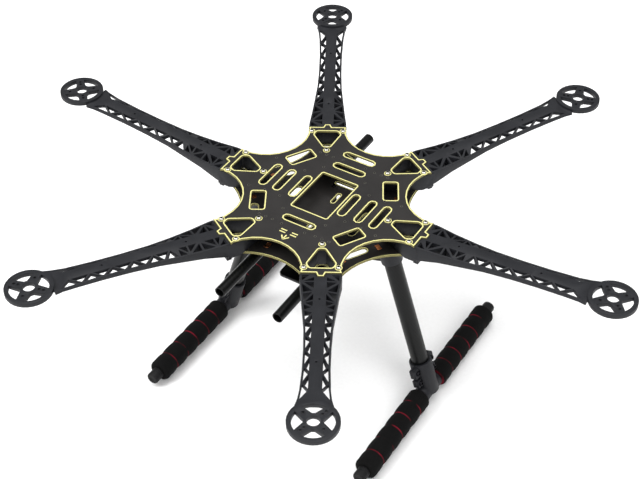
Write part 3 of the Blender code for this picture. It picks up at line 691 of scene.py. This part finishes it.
class AIRFRAME_OT_screws(bpy.types.Operator):
    """Screws of the arms, hangers, sockets and tray"""
    bl_idname = "airframe.screws"
    bl_label = "Fasteners"
    bl_options = {"REGISTER", "UNDO"}

    def execute(self, context):
        above = button_screw("screw_master", 0.0023, 0.0015, 0.00115, 0.007, 0.0013)
        head_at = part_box("arm_screw_6")[1].z - 0.0014
        for number, spot in enumerate(screw_spots(*INNER_SCREW), 1):
            obj = copy_to(above, f"arm_screw_inner_{number}", shift(spot.x, spot.y, head_at))
            done(obj, "airframe", "bright_steel", (finishes()["bright"],), f"arm_screw_{number}")
        drop(above)
        short = button_screw("short_master", 0.0022, 0.0014, 0.0011, 0.0012, 0.00115)
        for tag, place in OUTER_SCREWS.items():
            for number, spot in enumerate(screw_spots(*place), 1):
                obj = copy_to(short, f"arm_screw_outer_{number}{tag}", shift(spot.x, spot.y, UPPER + SEAT))
                done(obj, "airframe", "bright_steel", (finishes()["bright"],))
        self.fill_sockets()
        for tag, place in UNDER_SCREWS.items():
            for number, spot in enumerate(screw_spots(*place), 1):
                self.black_screw(short, f"arm_screw_under_{number}{tag}", spot.x, spot.y, UNDER - SEAT)
        self.bracket_screws(short)
        self.tray_screws(short)
        drop(short)
        return {"FINISHED"}

    def black_screw(self, master, name, x, y, z, turn=180):
        """A black screw with its head down, or up where it isn't turned."""
        screw = copy_to(master, name, shift(x, y, z) @ spin(turn, "X"))
        done(screw, "airframe", "black_steel", (finishes()["black"],))

    def fill_sockets(self):
        """Dark discs at the bottom of the bright screws' sockets, where dirt and shade gather."""
        disc = turned("socket_shade_master", [(0.00105, 0.0), (0.00105, 0.0001), (0.0006, 0.0001)], 12)
        number = 0
        for place, height in ((INNER_SCREW, 0.0009), (OUTER_SCREWS["a"], 0.0006),
                              (OUTER_SCREWS["b"], 0.0006)):
            for spot in screw_spots(*place):
                copy_to(disc, f"shade_part_{number}", shift(spot.x, spot.y, UPPER + height))
                number += 1
        drop(disc)
        join_parts("socket_shades", "shade_part_", finishes()["black"], "black_steel")

    def bracket_screws(self, short):
        """Two screws up through each hanger's flange and four through each leg socket's."""
        for end in ENDS:
            for side in SIDES:
                low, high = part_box(f"rail_hanger_{end}_{side}")
                middle = (low + high) / 2
                for tag, dx in (("a", -0.0075), ("b", 0.0075)):
                    self.black_screw(short, f"hanger_screw_{end}_{side}_{tag}", middle.x + dx, middle.y,
                                     high.z - 0.0027)
        for side, sx in (("left", -1), ("right", 1)):
            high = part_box(f"leg_socket_{side}")[1]
            for number, (dx, dy) in enumerate(((50.5, 11), (77.5, 11), (50.5, -11), (77.5, -11)), 1):
                self.black_screw(short, f"socket_screw_{side}_{number}", sx * dx * MM, dy * MM,
                                 high.z - 0.0031)

    def tray_screws(self, short):
        """The tray's hexagonal spacers, with a screw at both ends of each."""
        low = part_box("battery_tray")[0].z
        for number in range(1, 5):
            bottom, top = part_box(f"tray_standoff_{number}")
            middle = (bottom + top) / 2
            self.black_screw(short, f"tray_screw_{number}", middle.x, middle.y, low - SEAT)
            self.black_screw(short, f"spacer_screw_{number}", middle.x, middle.y, LOWER + SEAT, turn=0)
            spacer = from_cad(f"tray_standoff_{number}", f"hex_spacer_{number}")
            soften(spacer, 0.0003)
            done(spacer, "airframe", "black_steel", (finishes()["black"],), f"tray_standoff_{number}")


# ---- rails and tray ------------------------------------------------------------------------------
def tube(name, radii, low, high, sides=48):
    """An open tube along Z with broken edges, smooth round its bore and its outside."""
    outer, inner = radii
    edge = TUBE_EDGE
    obj = turned(name, [(outer - edge, low), (outer, low + edge), (outer, high - edge),
                        (outer - edge, high), (inner + edge, high), (inner, high - edge),
                        (inner, low + edge), (inner + edge, low)], sides, closed=True)
    smooth(obj)
    return obj


class AIRFRAME_OT_rails(bpy.types.Operator):
    """Accessory rails, their hangers and rubber bushes, and the battery tray"""
    bl_idname = "airframe.rails"
    bl_label = "Rails and Tray"
    bl_options = {"REGISTER", "UNDO"}

    def execute(self, context):
        f = finishes()
        along = spin(-90, "X")
        for side in SIDES:
            low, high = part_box(f"rail_{side}")
            middle = (low + high) / 2
            rail = tube(f"rail_tube_{side}", SMALL_TUBE, low.y, high.y)
            placed(rail, shift(middle.x, 0.0, middle.z) @ along)
            done(rail, f"rail_{side}", "carbon", (f["tube"],), f"rail_{side}")
            for end in ENDS:
                hanger = from_cad(f"rail_hanger_{end}_{side}", f"hanger_{end}_{side}")
                soften(hanger, sizes().bracket_edge)
                done(hanger, "airframe", "nylon", (f["nylon"],), f"rail_hanger_{end}_{side}")
                self.bush(end, side, along)
        tray = from_cad("battery_tray", "strap_tray")
        soften(tray, 0.0004)
        done(tray, "airframe", "carbon", (f["tube"],), "battery_tray")
        return {"FINISHED"}

    def bush(self, end, side, along):
        """A rubber ring with a lip at each end."""
        low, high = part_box(f"hanger_bush_{end}_{side}")
        middle = (low + high) / 2
        half = (high.y - low.y) / 2
        lip, outer, mouth, bore = 0.0071, 0.0068, 0.0056, 0.0053
        profile = [(lip, -half + 0.001), (outer, -half), (mouth, -half), (bore, -half + 0.0004),
                   (bore, half - 0.0004), (mouth, half), (outer, half), (lip, half - 0.001)]
        bush = turned(f"rubber_bush_{end}_{side}", profile, 40, closed=True)
        smooth(bush)
        placed(bush, shift(middle.x, middle.y, middle.z) @ along)
        done(bush, "airframe", "rubber", (finishes()["rubber"],), f"hanger_bush_{end}_{side}")


# ---- landing gear --------------------------------------------------------------------------------
class AIRFRAME_OT_legs(bpy.types.Operator):
    """Leg tubes, their sockets, tee joints and bolts"""
    bl_idname = "airframe.legs"
    bl_label = "Legs and Tees"
    bl_options = {"REGISTER", "UNDO"}

    def execute(self, context):
        f = finishes()
        bolt = button_screw("bolt_master", 0.0026, 0.0017, 0.0014, 0.0063, 0.0014)
        for side in SIDES:
            body = f"leg_{side}"
            place = leg_frame(side)
            into = place.inverted()
            reach = [(into @ v.co).z for v in frame["nodes"][f"leg_tube_{side}"].data.vertices]
            leg = tube(f"leg_pole_{side}", LEG_TUBE, min(reach), max(reach), 64)
            placed(leg, place)
            done(leg, body, "carbon", (f["tube"],), f"leg_tube_{side}")
            socket = from_cad(f"leg_socket_{side}", f"split_socket_{side}")
            soften(socket, sizes().bracket_edge)
            done(socket, "airframe", "nylon", (f["nylon"],), f"leg_socket_{side}")
            for half in ("inner", "outer"):
                shell = from_cad(f"tee_{half}_{side}", f"tee_shell_{half}_{side}")
                soften(shell, 0.0005)
                done(shell, body, "nylon", (f["nylon"],), f"tee_{half}_{side}")
            for number in range(1, 5):
                node = f"tee_bolt_{side}_{number}"
                points = [into @ v.co for v in frame["nodes"][node].data.vertices]
                centre = sum(points, Vector()) / len(points)
                matrix = place @ shift(0.0035, centre.y, centre.z) @ spin(90, "Y")
                screw = copy_to(bolt, f"tee_screw_{side}_{number}", matrix)
                done(screw, body, "black_steel", (f["black"],), node)
        drop(bolt)
        return {"FINISHED"}


class AIRFRAME_OT_skids(bpy.types.Operator):
    """Skid tubes with striped foam sleeves and rubber end caps"""
    bl_idname = "airframe.skids"
    bl_label = "Skids"
    bl_options = {"REGISTER", "UNDO"}

    def execute(self, context):
        f = finishes()
        along = spin(-90, "X")
        sleeve = self.sleeve()
        cap = self.cap()
        for side in SIDES:
            body = f"leg_{side}"
            low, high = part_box(f"skid_tube_{side}")
            middle = (low + high) / 2
            skid = tube(f"skid_pole_{side}", SMALL_TUBE, low.y, high.y)
            placed(skid, shift(middle.x, 0.0, middle.z) @ along)
            done(skid, body, "carbon", (f["tube"],), f"skid_tube_{side}")
            for end, turn in (("front", 180), ("rear", 0)):
                matrix = shift(middle.x, 0.0, middle.z) @ spin(turn) @ along
                foam = copy_to(sleeve, f"foam_grip_{end}_{side}", matrix)
                done(foam, body, "foam", (f["foam"],), f"foam_{end}_{side}")
                plug = copy_to(cap, f"end_cap_{end}_{side}", matrix)
                done(plug, body, "rubber", (f["rubber"],), f"skid_cap_{end}_{side}")
        drop(sleeve)
        drop(cap)
        return {"FINISHED"}

    def sleeve(self):
        """A foam tube whose skin swells between thin laminated bands."""
        low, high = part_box("foam_rear_right")
        start, end = low.y, high.y
        s = sizes()
        middle = (start + end) / 2
        bands = [middle + (i - (BAND_COUNT - 1) / 2) * s.stripe_pitch for i in range(BAND_COUNT)]
        quarter = [math.radians(90 * i / FOAM_STEPS) for i in range(FOAM_STEPS + 1)]
        stations = [(FOAM_RADIUS - FOAM_ROUND * (1 - math.sin(a)), start + FOAM_ROUND * (1 - math.cos(a)))
                    for a in quarter]
        edges = [start + FOAM_ROUND] + bands + [end - FOAM_ROUND]
        waist = FOAM_RADIUS - s.foam_swell
        for a, b in zip(edges, edges[1:]):
            for share in (0.25, 0.5, 0.75):
                swell = math.sin(math.pi * share) * s.foam_swell
                stations.append((waist + swell, a + (b - a) * share))
            if b in bands:
                stations += [(waist - BAND_DIP, b + dy) for dy in (-0.0007, -0.0006, 0.0006, 0.0007)]
        stations += [(FOAM_RADIUS - FOAM_ROUND * (1 - math.cos(a)), end - FOAM_ROUND * (1 - math.sin(a)))
                     for a in quarter]
        stations += [(FOAM_BORE, end), (FOAM_BORE, start)]
        obj = turned("sleeve_master", stations, 48, closed=True)
        layer = obj.data.attributes.new("stripe", "FLOAT", "POINT")
        for vertex in obj.data.vertices:
            radius = math.hypot(vertex.co.x, vertex.co.y)
            on_band = radius > 0.008 and any(abs(vertex.co.z - b) < BAND_REACH for b in bands)
            on_tip = radius > 0.006 and vertex.co.z < start + 0.0008
            layer.data[vertex.index].value = 1.0 if on_band or on_tip else 0.0
        smooth(obj, 60.0)
        return obj

    def cap(self):
        """A rounded rubber plug with a ring of grip and a dished end."""
        low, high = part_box("skid_cap_rear_right")
        start, end = low.y, high.y
        r = CAP_RADIUS
        profile = [(CAP_BORE, end - 0.0016), (CAP_BORE, start), (r * 0.96, start), (r, start + 0.0005),
                   (r, start + 0.002), (r * 0.95, start + 0.0024), (r * 0.95, start + 0.003),
                   (r, start + 0.0034), (r, end - 0.0016), (r * 0.95, end - 0.0006), (r * 0.84, end),
                   (r * 0.5, end), (r * 0.42, end - 0.0005), (r * 0.2, end - 0.0007)]
        obj = turned("cap_master", profile, 40)
        smooth(obj)
        return obj


class AIRFRAME_OT_kept(bpy.types.Operator):
    """Finishes for the CAD pieces that are shown as they are"""
    bl_idname = "airframe.kept"
    bl_label = "Kept Pieces"
    bl_options = {"REGISTER", "UNDO"}

    def execute(self, context):
        for side in SIDES:
            node = frame["nodes"][f"socket_bolt_{side}"]
            for slot in node.material_slots:
                slot.material = finishes()["black"]
        return {"FINISHED"}


# ---- stage ---------------------------------------------------------------------------------------
class AIRFRAME_OT_stage(bpy.types.Operator):
    """Pale floor, soft light and camera"""
    bl_idname = "airframe.stage"
    bl_label = "Stage"
    bl_options = {"REGISTER", "UNDO"}

    def execute(self, context):
        self.floor()
        self.lights()
        self.camera()
        return {"FINISHED"}

    def floor(self):
        # Painted board: even, matt and nearly white, with a roller texture too faint to cast shade.
        bpy.ops.object.select_all(action="DESELECT")
        bpy.ops.mesh.primitive_plane_add(size=60.0, location=(0.0, 0.0, 0.0))
        floor = context_object("floor")
        material = new_material("matt_white_painted_floor", Roughness=0.95)
        place = add_node(material, "ShaderNodeTexCoord").outputs["Object"]
        roller = add_node(material, "ShaderNodeTexNoise", {"Vector": place, "Scale": 300.0, "Detail": 2.0})
        code = colours().floor
        tint = add_node(material, "ShaderNodeValToRGB", {"Fac": roller.outputs["Fac"]},
                        [(0.3, shade_of(code, 0.93)), (0.7, shade_of(code, 0.96))])
        floor.data.materials.append(feed(material, Base_Color=tint.outputs["Color"]))

    def lights(self):
        world = bpy.data.worlds.new("studio")
        bpy.context.scene.world = world
        world.use_nodes = True
        sky = world.node_tree.nodes["Background"]
        sky.inputs["Color"].default_value = (1.0, 1.0, 1.0, 1.0)
        sky.inputs["Strength"].default_value = SKY_STRENGTH
        bpy.context.scene.view_settings.view_transform = "Standard"
        for name, (spot, size, power) in LAMPS.items():
            lamp = bpy.data.lights.new(name, "AREA")
            lamp.energy = power
            lamp.size = size
            obj = bpy.data.objects.new(name, lamp)
            obj.location = spot
            aim = Vector(LIGHT_TARGET) - Vector(spot)
            obj.rotation_euler = aim.to_track_quat("-Z", "Y").to_euler()
            bpy.context.scene.collection.objects.link(obj)

    def camera(self):
        lens = bpy.data.cameras.new("camera")
        lens.lens = CAMERA_LENS
        lens.sensor_width = 36.0
        camera = bpy.data.objects.new("camera", lens)
        bpy.context.scene.collection.objects.link(camera)
        back = -Vector(CAMERA_FORWARD).normalized()
        right = Vector(CAMERA_RIGHT).normalized()
        up = back.cross(right).normalized()
        matrix = Matrix((right, up, back)).transposed().to_4x4()
        matrix.translation = CAMERA_PLACE
        camera.matrix_world = matrix
        bpy.context.scene.camera = camera


# ---- panel and registration ----------------------------------------------------------------------
OPERATORS = (AIRFRAME_OT_stage, AIRFRAME_OT_boards, AIRFRAME_OT_board_details, AIRFRAME_OT_arms,
             AIRFRAME_OT_screws, AIRFRAME_OT_rails, AIRFRAME_OT_legs, AIRFRAME_OT_skids, AIRFRAME_OT_kept)


class AIRFRAME_PT_panel(bpy.types.Panel):
    """The airframe's settings and the operators that build it"""
    bl_idname = "AIRFRAME_PT_panel"
    bl_label = "Airframe"
    bl_space_type = "VIEW_3D"
    bl_region_type = "UI"
    bl_category = "Airframe"

    def draw(self, context):
        for group in (context.scene.airframe_colours, context.scene.airframe_sizes):
            for name in group.bl_rna.properties.keys():
                if name not in ("rna_type", "name"):
                    self.layout.prop(group, name)
        for operator in OPERATORS:
            self.layout.operator(operator.bl_idname)


CLASSES = (AirframeColours, AirframeSizes) + OPERATORS + (AIRFRAME_PT_panel,)


def register():
    for item in CLASSES:
        bpy.utils.register_class(item)
    bpy.types.Scene.airframe_colours = bpy.props.PointerProperty(type=AirframeColours)
    bpy.types.Scene.airframe_sizes = bpy.props.PointerProperty(type=AirframeSizes)


def unregister():
    del bpy.types.Scene.airframe_sizes
    del bpy.types.Scene.airframe_colours
    for item in reversed(CLASSES):
        bpy.utils.unregister_class(item)


def main():
    register()
    bpy.ops.airframe.stage()
    bpy.ops.airframe.boards()
    bpy.ops.airframe.board_details()
    bpy.ops.airframe.arms()
    bpy.ops.airframe.screws()
    bpy.ops.airframe.rails()
    bpy.ops.airframe.legs()
    bpy.ops.airframe.skids()
    bpy.ops.airframe.kept()


if __name__ == "__main__":
    main()
